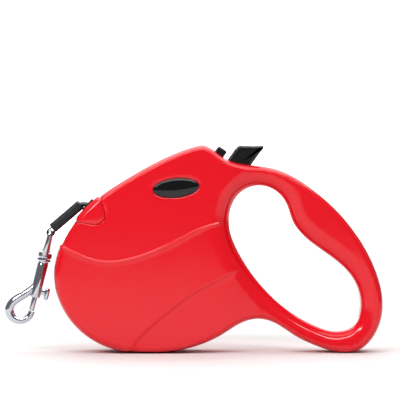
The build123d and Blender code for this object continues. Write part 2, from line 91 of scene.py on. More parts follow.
BADGE_CENTRE, BADGE_AXES, BADGE_LEAN = (-24.8, 95.8), (13.6, 5.6), 6.0
SCREW_SPOTS = [(-14.0, 109.5), (-82.5, 26.7), (5.0, 18.5), (44.0, 94.0), (85.6, 42.0), (62.0, 8.3)]
WELL_R, WELL_DEPTH, WELL_CLEAR = 2.95, 6.05, 0.5


# ---- small tools ----------------------------------------------------------------------------
def linear(hex_colour):
    """sRGB hex to linear RGBA."""
    values = [int(hex_colour[i:i + 2], 16) / 255 for i in (0, 2, 4)]
    return tuple(v / 12.92 if v <= 0.04045 else ((v + 0.055) / 1.055) ** 2.4 for v in values) + (1.0,)


def add_node(tree, kind, settings=None, inputs=None, links=None):
    """Adds one node, sets its settings and input values, and links its inputs from other sockets."""
    node = tree.nodes.new(kind)
    for key, value in (settings or {}).items():
        setattr(node, key, value)
    for key, value in (inputs or {}).items():
        node.inputs[key].default_value = value
    for key, socket in (links or {}).items():
        tree.links.new(socket, node.inputs[key])
    return node


def new_material(name, inputs):
    """A Principled material with these constant inputs. Returns the material, its tree and the shader."""
    material = bpy.data.materials.new(name)
    material.use_nodes = True
    tree = material.node_tree
    shader = tree.nodes["Principled BSDF"]
    for key, value in inputs.items():
        shader.inputs[key].default_value = value
    return material, tree, shader


def mesh_piece(name, verts, faces, material, sharp=None):
    """A smooth-shaded object at the origin, from vertices in millimetres and lists of corners. Edges
    that turn by more than `sharp` degrees stay crisp."""
    mesh = bpy.data.meshes.new(name)
    mesh.from_pydata((np.asarray(verts, float) * MM).tolist(), [], faces)
    mesh.validate()
    mesh.shade_smooth()
    if sharp is not None:
        mesh.set_sharp_from_angle(angle=math.radians(sharp))
    mesh.materials.append(material)
    piece = bpy.data.objects.new(name, mesh)
    bpy.context.scene.collection.objects.link(piece)
    return piece


def apply_modifiers(piece):
    """Bakes a piece's modifiers into its mesh."""
    depsgraph = bpy.context.evaluated_depsgraph_get()
    mesh = bpy.data.meshes.new_from_object(piece.evaluated_get(depsgraph))
    piece.modifiers.clear()
    piece.data = mesh


def smoothstep(value, low, high):
    """0 up to low, 1 from high, and 3 t^2 - 2 t^3 between them."""
    t = np.clip((value - low) / (high - low), 0, 1)
    return t * t * (3 - 2 * t)


# ---- curves ---------------------------------------------------------------------------------
def loop_curve(points, spacing):
    """A smooth closed curve through points: the periodic cubic spline on chord length, resampled
    evenly. Returns the places and the unit normals on the right of the direction of travel."""
    p = np.array(points, float)
    chord = np.linalg.norm(np.roll(p, -1, 0) - p, axis=1)
    before = np.roll(chord, 1)
    n = len(p)
    system = np.diag(2 * (before + chord))
    rows = np.arange(n)
    system[rows, (rows - 1) % n] += before
    system[rows, (rows + 1) % n] += chord
    slope = (np.roll(p, -1, 0) - p) / chord[:, None]
    bend = np.linalg.solve(system, 6 * (slope - np.roll(slope, 1, 0)))
    u = np.linspace(0, 1, 40, endpoint=False)[None, :, None]
    h, a, b = chord[:, None, None], p[:, None], np.roll(p, -1, 0)[:, None]
    ma, mb = bend[:, None], np.roll(bend, -1, 0)[:, None]
    dense = a * (1 - u) + b * u + h ** 2 / 6 * (((1 - u) ** 3 - (1 - u)) * ma + (u ** 3 - u) * mb)
    return even_loop(dense.reshape(-1, 2), spacing)


def even_loop(dense, spacing):
    """Even places along a dense closed polyline, and the unit normals on their right."""
    closed = np.vstack([dense, dense[:1]])
    along = np.concatenate([[0], np.cumsum(np.linalg.norm(np.diff(closed, axis=0), axis=1))])
    count = int(round(along[-1] / spacing))
    s = np.linspace(0, along[-1], count, endpoint=False)
    places = np.stack([np.interp(s, along, closed[:, k]) for k in (0, 1)], 1)
    way = np.roll(places, -1, 0) - np.roll(places, 1, 0)
    way /= np.linalg.norm(way, axis=1)[:, None]
    return places, np.stack([way[:, 1], -way[:, 0]], 1)


def open_curve(points, spacing):
    """A smooth open curve through points (Catmull-Rom on chord length), resampled evenly."""
    p = np.array(points, float)
    chord = np.concatenate([[0], np.cumsum(np.linalg.norm(np.diff(p, axis=0), axis=1))])
    slope = np.gradient(p, chord, axis=0, edge_order=2)
    s = np.linspace(0, chord[-1], 600)
    k = np.clip(np.searchsorted(chord, s, side="right") - 1, 0, len(p) - 2)
    h = (chord[k + 1] - chord[k])[:, None]
    u = (s[:, None] - chord[k][:, None]) / h
    dense = ((2 * u ** 3 - 3 * u ** 2 + 1) * p[k] + (u ** 3 - 2 * u ** 2 + u) * h * slope[k]
             + (3 * u ** 2 - 2 * u ** 3) * p[k + 1] + (u ** 3 - u ** 2) * h * slope[k + 1])
    along = np.concatenate([[0], np.cumsum(np.linalg.norm(np.diff(dense, axis=0), axis=1))])
    s = np.linspace(0, along[-1], max(2, int(round(along[-1] / spacing)) + 1))
    return np.stack([np.interp(s, along, dense[:, i]) for i in range(p.shape[1])], 1)


def distance_to(points, line, closed):
    """Distance from each point to a polyline, and the side it lies on (+1 on the right)."""
    a = line if closed else line[:-1]
    b = np.roll(line, -1, 0) if closed else line[1:]
    best, side = np.full(len(points), 1e9), np.ones(len(points))
    step = b - a
    length2 = (step ** 2).sum(1)
    for start in range(0, len(points), 4000):
        q = points[start:start + 4000]
        t = np.clip((((q[:, None] - a) * step).sum(2)) / length2, 0, 1)
        gap = q[:, None] - (a + t[..., None] * step)
        d = np.sqrt((gap ** 2).sum(2))
        k = d.argmin(1)
        row = np.arange(len(q))
        best[start:start + 4000] = d[row, k]
        cross = step[k, 0] * gap[row, k, 1] - step[k, 1] * gap[row, k, 0]
        side[start:start + 4000] = np.where(cross > 0, -1.0, 1.0)
    return best, side


def inside_loop(points, loop):
    """True for each point inside a closed polyline, by counting crossings."""
    a, b = loop, np.roll(loop, -1, 0)
    result = np.zeros(len(points), bool)
    for start in range(0, len(points), 8000):
        q = points[start:start + 8000]
        spans = (a[:, 1] > q[:, None, 1]) != (b[:, 1] > q[:, None, 1])
        with np.errstate(divide="ignore", invalid="ignore"):
            x = a[:, 0] + (q[:, None, 1] - a[:, 1]) * (b[:, 0] - a[:, 0]) / (b[:, 1] - a[:, 1])
        result[start:start + 8000] = (spans & (q[:, None, 0] < x)).sum(1) % 2 == 1
    return result


# ---- the case's form ------------------------------------------------------------------------
OUTER, OUTER_RIGHT = loop_curve(CASE_OUTLINE, 1.0)
HOLE, HOLE_RIGHT = loop_curve(OPENING_OUTLINE, 1.0)
BROW = open_curve(BROW_LINE, 0.9)
CREASE = open_curve(CREASE_LINE, 0.9)
COLLAR, COLLAR_RIGHT = loop_curve(COLLAR_OUTLINE, 0.7)
OUTER_OUT, HOLE_OUT, COLLAR_OUT = -OUTER_RIGHT, -HOLE_RIGHT, -COLLAR_RIGHT  # away from the material


def ellipse_gap(q):
    """Rough signed distance to the badge's outline, negative inside."""
    turn = math.radians(BADGE_LEAN)
    d = q - np.array(BADGE_CENTRE)
    u = d[:, 0] * math.cos(turn) + d[:, 1] * math.sin(turn)
    v = -d[:, 0] * math.sin(turn) + d[:, 1] * math.cos(turn)
    reach = np.sqrt((u / BADGE_AXES[0]) ** 2 + (v / BADGE_AXES[1]) ** 2) + 1e-9
    steep = np.sqrt((u / BADGE_AXES[0] ** 2) ** 2 + (v / BADGE_AXES[1] ** 2) ** 2) / reach + 1e-9
    return (reach - 1) / steep


def rounding(depth, radius):
    """The quarter round that carries the side wall into the face: 0 at the rim, 1 past radius."""
    return np.sqrt(1 - (1 - np.clip(depth / radius, 0, 1)) ** 2)


def half_thickness(q):
    """Height of the side face over the parting plane. The belly is flat, the neck eases into the
    slimmer handle, and both rims round off as quarter ellipses, whose product makes the grip round."""
    outer, _ = distance_to(q, OUTER, True)
    hole, _ = distance_to(q, HOLE, True)
    full = BELLY_HALF - (BELLY_HALF - HANDLE_HALF) * smoothstep(q[:, 0], NECK_START, NECK_END)
    ease = rounding(outer, OUTER_ROUND) * rounding(hole, OPENING_ROUND)
    return WALL_BAND + (full - WALL_BAND) * ease


def hump(gap, width):
    """A bell over a line: exp(-(gap / width)^2)."""
    return np.exp(-(gap / width) ** 2)


def panel_lift(q):
    """How far the skin stands proud: the belly panel below the brow line and left of the crease,
    fading into the neck, with a bead along its brow, the raised nose collar, and fine grooves
    round the badge and the collar."""
    below, side = distance_to(q, BROW, False)
    below = below * side
    left, side = distance_to(q, CREASE, False)
    left = -left * side
    panel = smoothstep(below, -0.6, 0.7) * smoothstep(left, -1.2, 1.0) * PANEL_PROUD
    panel_fade = 1 - smoothstep(q[:, 0] + 0.6 * (q[:, 1] - 47), 4, 18)
    bead = BEAD_PROUD * hump(below - BEAD_BELOW, BEAD_WIDTH) * smoothstep(left, -0.5, 1.5)
    bead_fade = 1 - smoothstep(q[:, 0], -1.5, 2.5)
    groove = BADGE_GROOVE * hump(ellipse_gap(q), BADGE_GROOVE_WIDTH)
    depth, _ = distance_to(q, COLLAR, True)
    depth = np.where(inside_loop(q, COLLAR), depth, -depth)
    collar = COLLAR_PROUD * rounding(depth, COLLAR_ROUND) * (depth > 0)
    collar -= COLLAR_GROOVE * hump(depth + COLLAR_GROOVE_OUT, COLLAR_GROOVE_WIDTH)
    return panel * panel_fade + bead * bead_fade - groove + collar


def from_screws(q):
    """Distance from each point to the nearest screw's axis."""
    return np.min([np.hypot(q[:, 0] - x, q[:, 1] - z) for x, z in SCREW_SPOTS], axis=0)


def well_rows():
    """Rings over each screw: the well's lip, its foot and its flat floor."""
    t = np.linspace(0, 2 * math.pi, 28, endpoint=False)
    rows = [np.stack([x + r * np.cos(t), z + r * np.sin(t)], 1) for x, z in SCREW_SPOTS
            for r in (WELL_R + 0.25, WELL_R, WELL_R - 0.12, WELL_R - 0.4, 1.8, 0.9)]
    return np.vstack(rows + [np.array(SCREW_SPOTS)])


def rim_rows(loop, out, radius, wells):
    """Rows beside one rim, each as plan, place and height. The wall's rows lie outside the rim in
    plan, as if unfolded, and at the rim in place. The rounding's lie inside it, at depth
    radius * (1 - cos a), where no other rim is nearer, with their height left open."""
    rows = [(loop + out * step, loop - out * sink, np.full(len(loop), WALL_BAND - step))
            for step, sink in zip(WALL_STEPS, WALL_SINKS)]
    for angle in np.radians(ROUND_STEPS):
        depth = radius * (1 - math.cos(angle))
        ring = loop - out * depth
        true = np.minimum(distance_to(ring, OUTER, True)[0], distance_to(ring, HOLE, True)[0])
        ring = ring[true > depth - 0.12]
        if wells:
            ring = ring[from_screws(ring) > WELL_R + WELL_CLEAR]
        rows.append((ring, ring, np.full(len(ring), np.nan)))
    return rows


def feature_rows(wells):
    """Rows along the brow, the crease, the badge and the collar, and over the screws of the half
    that has wells."""
    rows = [rows_beside(BROW, (-1.3, -0.85, -0.45, -0.1, 0.3, 0.7, 1.1, 1.6, 2.3)),
            rows_beside(CREASE, (-1.8, -1.1, -0.5, 0.1, 0.7, 1.5)), badge_rows()]
    rows += [COLLAR - COLLAR_OUT * d for d in (-0.6, -0.15, 0.08, 0.35, 0.8, 1.3, 1.8)]
    rows = np.vstack(rows)
    if wells:
        rows = np.vstack([rows[from_screws(rows) > WELL_R + WELL_CLEAR], well_rows()])
    return rows


def gap_to(points, others):
    """Distance from each point to the nearest of the others."""
    gap = np.empty(len(points))
    for start in range(0, len(points), 3000):
        q = points[start:start + 3000]
        gap[start:start + 3000] = np.sqrt(((q[:, None] - others) ** 2).sum(2)).min(1)
    return gap


def skin_points(wells):
    """Plan, place and height of one half's skin points: rows beside both rims, rows along its
    features, and a hexagonal grid between. Also the two rims, as the plan has them."""
    rows = rim_rows(OUTER, OUTER_OUT, OUTER_ROUND, wells) + rim_rows(HOLE, HOLE_OUT, OPENING_ROUND, wells)
    features = feature_rows(wells)
    grid = hexagons(GRID_PITCH)
    grid = grid[gap_to(grid, features) > GRID_GAP]
    for group, off_outer, off_hole in ((features, 0.25, 0.25),
                                       (grid, OUTER_ROUND + 0.5, OPENING_ROUND + 0.5)):
        group = group[inside_loop(group, OUTER) & ~inside_loop(group, HOLE)]
        outer, hole = distance_to(group, OUTER, True)[0], distance_to(group, HOLE, True)[0]
        group = group[(outer > off_outer) & (hole > off_hole)]
        rows.append((group, group, np.full(len(group), np.nan)))
    plan, place, height = (np.concatenate(part) for part in zip(*rows))
    return plan, place, height, [OUTER + OUTER_OUT * WALL_STEPS[0], HOLE + HOLE_OUT * WALL_STEPS[0]]


def rows_beside(line, offsets):
    """Copies of an open curve moved sideways, to the right of its direction."""
    way = np.gradient(line, axis=0)
    way /= np.linalg.norm(way, axis=1)[:, None]
    right = np.stack([way[:, 1], -way[:, 0]], 1)
    return np.vstack([line + right * o for o in offsets])


def badge_rows():
    """Rings on and beside the badge's outline."""
    turn, t = math.radians(BADGE_LEAN), np.linspace(0, 2 * math.pi, 90, endpoint=False)
    rows = []
    for grow in (-0.9, -0.5, -0.2, 0.0, 0.2, 0.5, 0.9):
        u = (BADGE_AXES[0] + grow) * np.cos(t)
        v = (BADGE_AXES[1] + grow) * np.sin(t)
        rows.append(np.stack([
            BADGE_CENTRE[0] + u * math.cos(turn) - v * math.sin(turn),
            BADGE_CENTRE[1] + u * math.sin(turn) + v * math.cos(turn)], 1))
    return np.vstack(rows)


def hexagons(pitch):
    """A hexagonal grid over the case's box."""
    xs = np.arange(-95, 95, pitch)
    zs = np.arange(0, 121, pitch * 0.866)
    x, z = np.meshgrid(xs, zs)
    x = x + (np.arange(len(zs)) % 2)[:, None] * pitch / 2
    return np.stack([x.ravel(), z.ravel()], 1)


def triangulate(plan, rims):
    """Delaunay triangles over the plan points, kept inside the outer rim and out of the hole's, and
    for each of their vertices the plan point it comes from."""
    edges, start = [], 0
    for rim in rims:
        k = np.arange(len(rim))
        edges += np.stack([k + start, (k + 1) % len(rim) + start], 1).tolist()
        start += len(rim)
    points = np.vstack(rims + [plan])
    out = delaunay_2d_cdt([Vector(p) for p in points.tolist()], edges, [], 0, 1e-5)
    tris = np.array(out[2])
    source = np.array([min(i for i in merged if i >= start) for merged in out[3]]) - start
    middle = np.array([tuple(v) for v in out[0]])[tris].mean(1)
    keep = inside_loop(middle, rims[0]) & ~inside_loop(middle, rims[1])
    return tris[keep], source


def case_half(name, side, material):
    """One half of the case, side -1 the front and 1 the rear, which has the screw wells: outer skin,
    lifted along its own normals by the panel relief, then given its wall thickness."""
    plan, place, height, rims = skin_points(side > 0)
    tris, source = triangulate(plan, rims)
    place, height = place[source], height[source]
    face = np.isnan(height)
    height[face] = half_thickness(place[face])
    if side > 0:
        spot = face & (from_screws(place) < WELL_R - 0.06)
        level = np.where(place[spot, 0] < NECK_START, BELLY_HALF, HANDLE_HALF) - WELL_DEPTH
        height[spot] = np.minimum(height[spot], level)
    verts = np.stack([place[:, 0], side * height, place[:, 1]], 1)
    a, b, c = (verts[tris[:, k]] for k in range(3))
    normals = np.cross(b - a, c - a)
    if side * normals[:, 1].sum() < 0:
        tris = tris[:, ::-1]
        normals = -normals
    vertex = np.zeros_like(verts)
    for k in range(3):
        np.add.at(vertex, tris[:, k], normals)
    vertex /= np.linalg.norm(vertex, axis=1)[:, None] + 1e-12
    vertex[height < 0.5, 1] = 0  # the halves stay flush at the parting plane
    lift = panel_lift(place)
    if side > 0:
        lift = np.where(from_screws(place) < WELL_R + 0.1, 0, lift)
    verts = verts + vertex * lift[:, None]
    used = np.unique(tris)
    renumber = np.full(len(verts), -1)
    renumber[used] = np.arange(len(used))
    piece = mesh_piece(name, verts[used], renumber[tris].tolist(), material)
    wall = piece.modifiers.new("wall", "SOLIDIFY")
    wall.thickness = SKIN * MM
    wall.offset = -1
    apply_modifiers(piece)
    return piece


# ---- materials ------------------------------------------------------------------------------
WAVE_PERIOD = 314.0  # millimetres between the bands of a wave texture at scale 1


def uneven(name, inputs, scale, detail, strength, depth):
    """A material whose surface is disturbed by noise of this scale, to a depth in metres."""
    material, tree, shader = new_material(name, inputs)
    place = add_node(tree, "ShaderNodeTexCoord").outputs["Object"]
    noise = add_node(tree, "ShaderNodeTexNoise", inputs={"Scale": scale, "Detail": detail},
                     links={"Vector": place})
    bump = add_node(tree, "ShaderNodeBump", inputs={"Strength": strength, "Distance": depth},
                    links={"Height": noise.outputs["Fac"]})
    tree.links.new(bump.outputs["Normal"], shader.inputs["Normal"])
    return material


def moulded(name, colour, roughness, grain):
    """Moulded plastic: even colour, with the fine spark-eroded grain, about 0.4 mm, that softens
    its highlight."""
    inputs = {"Base Color": linear(colour), "Roughness": roughness, "IOR": 1.5}
    return uneven(name, inputs, 2600.0, 2.0, grain, 0.00003)


def plated(name, colour, roughness):
    """Plated or bare metal, with a faint unevenness in its polish, about 2.4 mm from hill to hill."""
    inputs = {"Base Color": linear(colour), "Metallic": 1.0, "Roughness": roughness}
    return uneven(name, inputs, 420.0, 3.0, 0.12, 0.00006)


def woven(name, colour, rib):
    """Tight nylon webbing: yarns that cross every `rib` millimetres, square to the tape's length,
    with the soft sheen of their loose fibres."""
    material, tree, shader = new_material(name, {
        "Base Color": linear(colour), "Roughness": 0.72, "Sheen Weight": 0.25, "Sheen Roughness": 0.4,
    })
    place = add_node(tree, "ShaderNodeTexCoord").outputs["Object"]
    turned = add_node(tree, "ShaderNodeMapping", inputs={"Rotation": (0, math.radians(-40), 0)},
                      links={"Vector": place})
    warp, weft = (add_node(tree, "ShaderNodeTexWave", {"bands_direction": way},
                           {"Scale": WAVE_PERIOD / rib, "Distortion": 0.3},
                           {"Vector": turned.outputs["Vector"]}) for way in ("Y", "X"))
    high = add_node(tree, "ShaderNodeMath", {"operation": "MAXIMUM"}, {},
                    {0: warp.outputs["Fac"], 1: weft.outputs["Fac"]})
    bump = add_node(tree, "ShaderNodeBump", inputs={"Strength": 0.6, "Distance": 0.00012},
                    links={"Height": high.outputs["Value"]})
    tree.links.new(bump.outputs["Normal"], shader.inputs["Normal"])
    return material


# the case: injection-moulded ABS, a clear red with crisp window-like highlights
red_shell = moulded("glossy_red_abs", "DF081C", 0.13, 0.05)
# the badge domes: polished ABS, near black with mirror-like reflections
black_gloss = moulded("polished_black_abs", "040507", 0.05, 0.0)
# buttons and outlet guide: moulded nylon, black with a soft broad highlight
black_satin = moulded("satin_black_nylon", "08090B", 0.22, 0.12)
# spool and arbor, inside: acetal, a dull waxy grey
drum_grey = moulded("grey_acetal", "5A5D60", 0.38, 0.12)
# the leash: woven nylon, matt black with fine crossing ribs
black_tape = woven("black_nylon_tape", "0D0E11", 0.9)
# the sleeve on the tape's end: moulded rubber, matt black that lightens on each rib
black_rubber = moulded("black_ribbed_rubber", "0C0E12", 0.40, 0.25)
# snap, eye and bolt: chrome on zinc, a bright cool mirror
chrome = plated("bright_chrome_plate", "C6CAD2", 0.07)
# springs, screws and axle: zinc on steel, greyer and duller than the chrome
spring_steel = plated("zinc_plated_steel", "A9ACB0", 0.28)

CAD_MATERIALS = {
    red_shell: ("front_shell", "rear_shell", "nozzle_collar"),
    black_gloss: ("front_badge", "rear_badge"),
    black_satin: ("outlet_guide", "brake_button", "lock_button"),
    drum_grey: ("spool", "spool_cover", "spring_arbor"),
    black_tape: ("wound_tape", "tape_run", "tape_tail", "tape_loop"),
    black_rubber: ("tape_sleeve",),
    chrome: ("snap_eye", "swivel_rivet", "snap_body", "snap_bolt"),
    spring_steel: ("shell_screws", "spool_axle", "axle_clip", "mainspring", "brake_spring",
                   "lock_spring", "bolt_spring"),
}
for material, names in CAD_MATERIALS.items():
    for name in names:
        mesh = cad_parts[name].data
        mesh.materials.clear()
        mesh.materials.append(material)


# ---- surfaces -------------------------------------------------------------------------------
def grid_faces(rows, columns, loop):
    """Quads of a stack of closed rings, whose last ring also joins the first when loop is true."""
    i, j = np.meshgrid(np.arange(rows if loop else rows - 1), np.arange(columns), indexing="ij")
    down, right = (i + 1) % rows, (j + 1) % columns
    return np.stack([i * columns + j, i * columns + right, down * columns + right, down * columns + j],
                    -1).reshape(-1, 4)


def closed_surface(name, rings, material, sharp=None, loop=False):
    """Skin over a stack of equal closed rings, shape (rings, points, 3), capped by fans at both
    ends, or joined end to end when loop is true. Turned outward by the sign of its volume, the sum
    of a . (b x c) over its triangles."""
    rings = np.asarray(rings, float)
    rows, columns = rings.shape[:2]
    verts = rings.reshape(-1, 3)
    faces = grid_faces(rows, columns, loop).tolist()
    if not loop:
        first, last = len(verts), len(verts) + 1
        verts = np.vstack([verts, rings[0].mean(0), rings[-1].mean(0)])
        k = np.arange(columns)
        after = (k + 1) % columns
        base = (rows - 1) * columns
        faces += np.stack([after, k, np.full(columns, first)], 1).tolist()
        faces += np.stack([base + k, base + after, np.full(columns, last)], 1).tolist()
    corners = np.array([(f[0], f[k], f[k + 1]) for f in faces for k in range(1, len(f) - 1)])
    a, b, c = (verts[corners[:, k]] for k in range(3))
    if (a * np.cross(b, c)).sum() < 0:
        faces = [f[::-1] for f in faces]
    return mesh_piece(name, verts, faces, material, sharp)


def rounded_loop(half_a, half_b, corner, count=6):
    """A rectangle with rounded corners as points (a, b), anticlockwise."""
    points = []
    for k, (sa, sb) in enumerate(((1, 1), (-1, 1), (-1, -1), (1, -1))):
        turn = np.radians(np.linspace(0, 90, count) + 90 * k)
        points.append(np.stack([sa * (half_a - corner) + corner * np.cos(turn),
                                sb * (half_b - corner) + corner * np.sin(turn)], 1))
    return np.vstack(points)


def lathe_rings(profile, count=40):
    """Rings of a turned form about Z from (radius, height) pairs."""
    t = np.linspace(0, 2 * math.pi, count, endpoint=False)
    return np.array([np.stack([r * np.cos(t), r * np.sin(t), np.full(count, z)], 1) for r, z in profile])


def tube_rings(path, sizes, across, count, loop=False):
    """Elliptical rings along a path in the plane square to `across`. Ring k is at path[k] with
    half sizes (in the plane, along `across`) from sizes[k]. A loop's path runs on into its start."""
    path, sizes, across = np.asarray(path, float), np.asarray(sizes, float), np.asarray(across, float)
    way = np.roll(path, -1, 0) - np.roll(path, 1, 0) if loop else np.gradient(path, axis=0)
    way /= np.linalg.norm(way, axis=1)[:, None]
    side = np.cross(way, across)
    t = np.linspace(0, 2 * math.pi, count, endpoint=False)
    return (path[:, None] + side[:, None] * (sizes[:, 0, None] * np.cos(t))[..., None]
            + across * (sizes[:, 1, None] * np.sin(t))[..., None])


def kept(piece, body, slot, *nodes):
    """The piece rides its body and stands for its CAD nodes. Its slot is not used."""
    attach(piece, body)
    if nodes:
        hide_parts(*nodes)
    return piece


# ---- case -----------------------------------------------------------------------------------
LEAN = math.radians(54)  # the buttons' stroke over the level
STROKE = np.array([math.cos(LEAN), math.sin(LEAN)])
ACROSS = np.array([math.sin(LEAN), -math.cos(LEAN)])
STROKE_WAYS = {  # the buttons' openings: across from, across to, along from, along to, half width
    "brake_way": (-62.05, -48.55, 78.0, 125.0, 7.35),
    "lock_way": (-70.95, -64.05, 80.0, 112.0, 4.35),
}
MOUTH, MOUTH_HALF = [(-80.6, 83.0), (-73.9, 90.5), (-69.6, 85.7), (-75.0, 79.1)], 8.05


def on_stroke(across, along):
    """X and Z of a point given across and along the buttons' stroke."""
    return np.asarray(across)[..., None] * ACROSS + np.asarray(along)[..., None] * STROKE


def cutter(name, corners, half_y):
    """A prism along Y from corners in X and Z, for cutting a way through the case."""
    corners = np.asarray(corners, float)
    rings = [np.stack([corners[:, 0], np.full(len(corners), y), corners[:, 1]], 1) for y in (-half_y, half_y)]
    return closed_surface(name, rings, red_shell)


def cut(piece, tools):
    """Cuts each tool out of the piece and removes it."""
    for tool in tools:
        step = piece.modifiers.new("cut", "BOOLEAN")
        step.operation, step.solver, step.object = "DIFFERENCE", "EXACT", tool
        apply_modifiers(piece)
        bpy.data.objects.remove(tool)
    piece.data.set_sharp_from_angle(angle=math.radians(38))


def build_case():
    """Both halves, with the ways of the buttons and the mouth of the outlet cut through."""
    for name, side, nodes in (("front_case", -1, ("front_shell", "nozzle_collar")),
                              ("rear_case", 1, ("rear_shell",))):
        half = case_half(name, side, red_shell)
        tools = []
        for way, (left, right, low, high, half_y) in STROKE_WAYS.items():
            corners = on_stroke(np.array([left, right, right, left]), np.array([low, low, high, high]))
            tools.append(cutter(way, corners, half_y))
        cut(half, tools + [cutter("mouth_way", MOUTH, MOUTH_HALF)])
        kept(half, "case", "red_shell", *nodes)


def build_badge(name, side, node):
    """The oval badge: a low rim, then a dome that rises by 1.1 sqrt(1 - (r / 0.93)^2.4) inside it."""
    turn = math.radians(BADGE_LEAN)
    t = np.linspace(0, 2 * math.pi, 72, endpoint=False)
    inner = 0.93
    profile = [(0.985, -1.0), (0.985, 0.10), (0.975, 0.28), (0.95, 0.36), (inner, 0.34)]
    profile += [(r, 0.30 + 1.10 * math.sqrt(1 - (r / inner) ** 2.4))
                for r in inner * np.cos(np.linspace(0.18, 1.5, 14))]
    rings = []
    for r, rise in profile:
        u, v = BADGE_AXES[0] * r * np.cos(t), (BADGE_AXES[1] - (1 - r) * 0.2) * r * np.sin(t)
        rings.append(np.stack([
            BADGE_CENTRE[0] + u * math.cos(turn) - v * math.sin(turn),
            np.full(len(t), side * (BELLY_HALF + rise)),
            BADGE_CENTRE[1] + u * math.sin(turn) + v * math.cos(turn)], 1))
    kept(closed_surface(name, rings, black_gloss, 50), "case", "black_gloss", node)


def build_buttons():
    """Brake button: its side profile in the stroke's axes, drawn in towards both flanks so that
    they round over, and cut level at its foot. The lock button is a small rounded key."""
    profile = open_curve([(-61.55, 80.0), (-61.62, 90.0), (-61.65, 98.0), (-61.6, 101.6), (-60.9, 104.0),
                          (-59.2, 105.1), (-56.9, 106.8), (-54.0, 108.8), (-51.2, 110.9), (-49.6, 112.0),
                          (-49.0, 111.5), (-48.95, 108.0), (-48.97, 98.0), (-49.0, 90.0), (-49.1, 80.0)], 0.7)
    foot = 80
    way = np.gradient(profile, axis=0)
    way /= np.linalg.norm(way, axis=1)[:, None]
    inward = np.stack([way[:, 1], -way[:, 0]], 1)
    flank = [(7.0, 2.2), (7.0, 1.4), (6.9, 0.85), (6.6, 0.4), (6.1, 0.12), (5.4, 0.0), (2.7, 0.0)]
    rings = []
    for y, inset in [(-y, inset) for y, inset in flank] + [(0.0, 0.0)] + flank[::-1]:
        shape = profile + inward * inset
        shape[:, 1] = np.maximum(shape[:, 1], foot)
        place = on_stroke(shape[:, 0], shape[:, 1])
        rings.append(np.stack([place[:, 0], np.full(len(place), y), place[:, 1]], 1))
    kept(closed_surface("brake_key", rings, black_satin, 55), "brake", "black_satin", "brake_button")
    half_a, half_b, middle = 3.05, 3.95, -67.5
    loop = rounded_loop(half_a, half_b, 0.9)
    rings = []
    for along, shrink in [(88.0, 0), (95.4, 0), (96.1, 0.08), (96.6, 0.3), (96.9, 0.65), (97.0, 1.1)]:
        across = middle + loop[:, 0] * (1 - shrink / half_a)
        place = on_stroke(across, np.full(len(loop), along))
        rings.append(np.stack([place[:, 0], loop[:, 1] * (1 - shrink / half_b), place[:, 1]], 1))
    kept(closed_surface("lock_key", rings, black_satin, 50), "lock", "black_satin", "lock_button")


# ---- leash end ------------------------------------------------------------------------------
SLEEVE_START, SLEEVE_END = np.array([-82.0, 84.4]), np.array([-96.4, 72.1])
SLEEVE_WAY = (SLEEVE_END - SLEEVE_START) / np.hypot(*(SLEEVE_END - SLEEVE_START))
SLEEVE_HALVES, SLEEVE_CORNER = (2.95, 6.3), 1.7
RIB_PITCH, RIB_DEPTH, RIBS = 1.5, 0.2, 11.5
LOOP_CENTRE = np.array([-97.7, 69.6])


def build_sleeve():
    """The rubber sleeve: a rounded bar that draws in between its ribs by a cosine wave, 0.2 mm deep
    every 1.5 mm, with plain rounded ends, and a soft neck that reaches into the outlet."""
    start = SLEEVE_START - SLEEVE_WAY * 2.3
    length = float(np.hypot(*(SLEEVE_END - start))) + 0.4
    side = np.array([-SLEEVE_WAY[1], SLEEVE_WAY[0]])
    ends = [(0.0, 1.0), (0.15, 0.45), (0.5, 0.12), (0.9, 0.0)]
    ribs_at = 2.0
    stations = ends + [(s, RIB_DEPTH * (0.5 - 0.5 * math.cos((s - ribs_at) / RIB_PITCH * 2 * math.pi)))
                       for s in np.linspace(ribs_at, ribs_at + RIB_PITCH * RIBS, 117)]
    stations += [(length - s, inset) for s, inset in ends[::-1]]
    rings = []
    for s, inset in stations:
        loop = rounded_loop(SLEEVE_HALVES[0] - inset, SLEEVE_HALVES[1] - inset, SLEEVE_CORNER)
        place = start + SLEEVE_WAY * s + loop[:, :1] * side
        rings.append(np.stack([place[:, 0], loop[:, 1], place[:, 1]], 1))
    bend = open_curve([(-83.0, 83.6), (-81.2, 85.1), (-79.4, 85.9), (-77.4, 85.8), (-76.2, 85.5)], 0.5)
    path = np.stack([bend[:, 0], np.zeros(len(bend)), bend[:, 1]], 1)
    sizes = np.tile((1.45, 5.6), (len(path), 1))
    sizes[-1] -= 0.5
    neck = tube_rings(path, sizes, (0, 1, 0), 28)
    parts = [closed_surface("bar", rings, black_rubber), closed_surface("neck", neck, black_rubber)]
    return joined("sleeve", parts, "leash_end", "black_rubber", "tape_sleeve")


def route(points):
    """The line of a tape: a quadratic NURBS through control points in X and Z, read back as
    world points in metres."""
    curve = bpy.data.curves.new("route", "CURVE")
    curve.dimensions = "3D"
    curve.resolution_u = 6
    spline = curve.splines.new("NURBS")
    spline.points.add(len(points) - 1)
    for point, (x, z) in zip(spline.points, points):
        point.co = (x * MM, 0, z * MM, 1)
    spline.order_u = 3
    spline.use_endpoint_u = True
    holder = bpy.data.objects.new("route", curve)
    mesh = bpy.data.meshes.new_from_object(holder)
    line = np.array([v.co[:] for v in mesh.vertices])
    bpy.data.objects.remove(holder)
    return line


